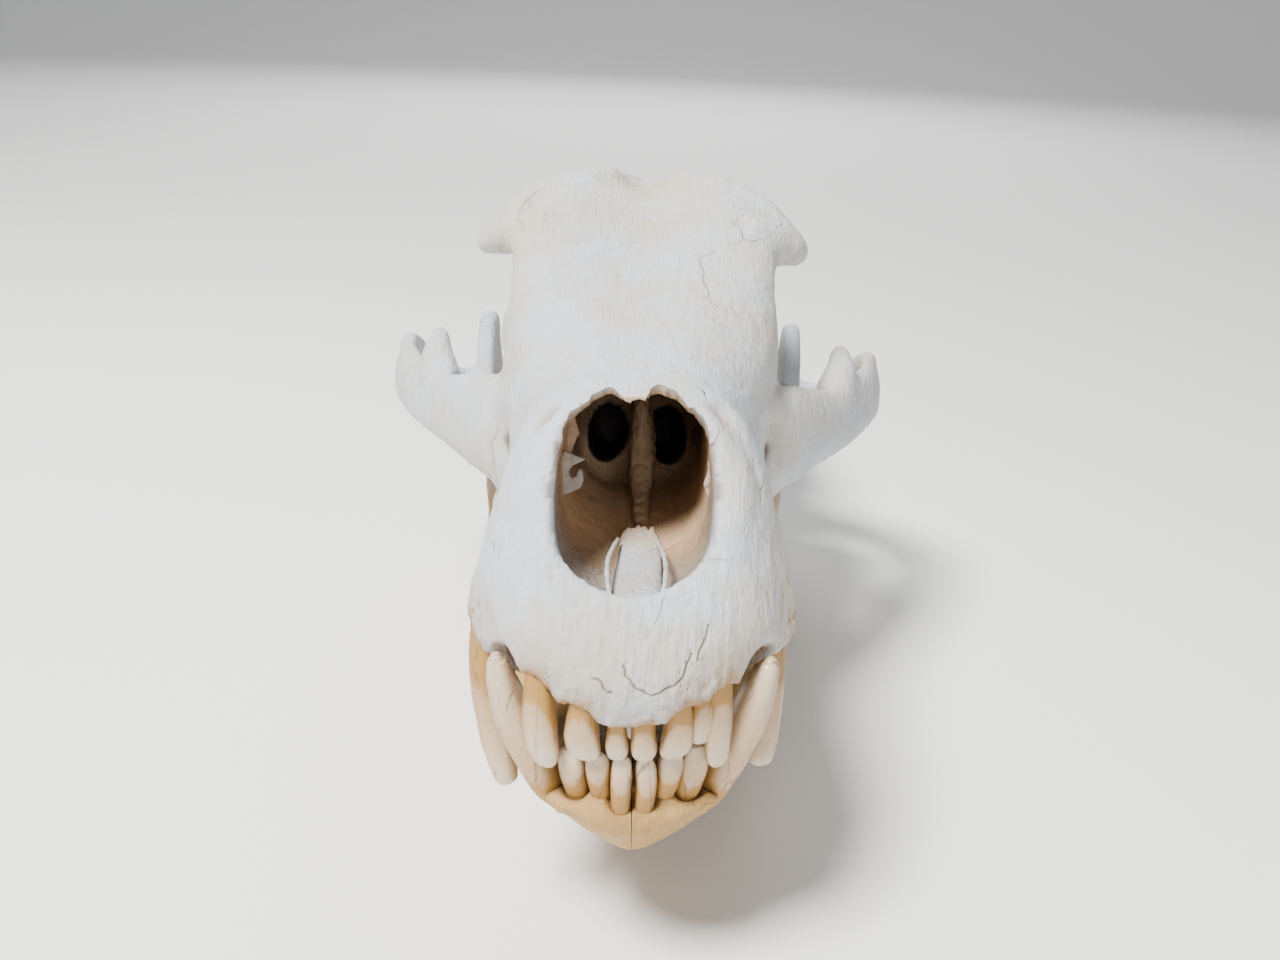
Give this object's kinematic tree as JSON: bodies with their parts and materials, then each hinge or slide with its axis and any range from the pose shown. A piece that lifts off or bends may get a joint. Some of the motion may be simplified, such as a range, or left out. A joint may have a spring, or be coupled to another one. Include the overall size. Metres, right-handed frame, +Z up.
{
  "type": "bear skull with lower jaw",
  "caption": "Life-size brown bear skull resting on its closed lower jaw, with open nose, cheek arches, crests and teeth.",
  "frame": {"origin": "middle of the skull in plan, on the level of the flats that the jaw rests on", "axes": "+Z up, +Y from the front teeth to the back of the head, +X towards the animal's left side"},
  "size_m": [0.2003, 0.3473, 0.1918],
  "materials": {
    "bone": "dry bleached bone, dull, finely striated and pitted",
    "jaw_bone": "dry cream bone, dull, stained tan",
    "enamel": "worn tooth enamel, satin, ochre at the neck"
  },
  "bodies": {
    "root": {"cranium": "bone", "zygomatic_arch_left": "bone", "zygomatic_arch_right": "bone", "mandible_left": "jaw_bone", "mandible_right": "jaw_bone"}
  },
  "joints": []
}
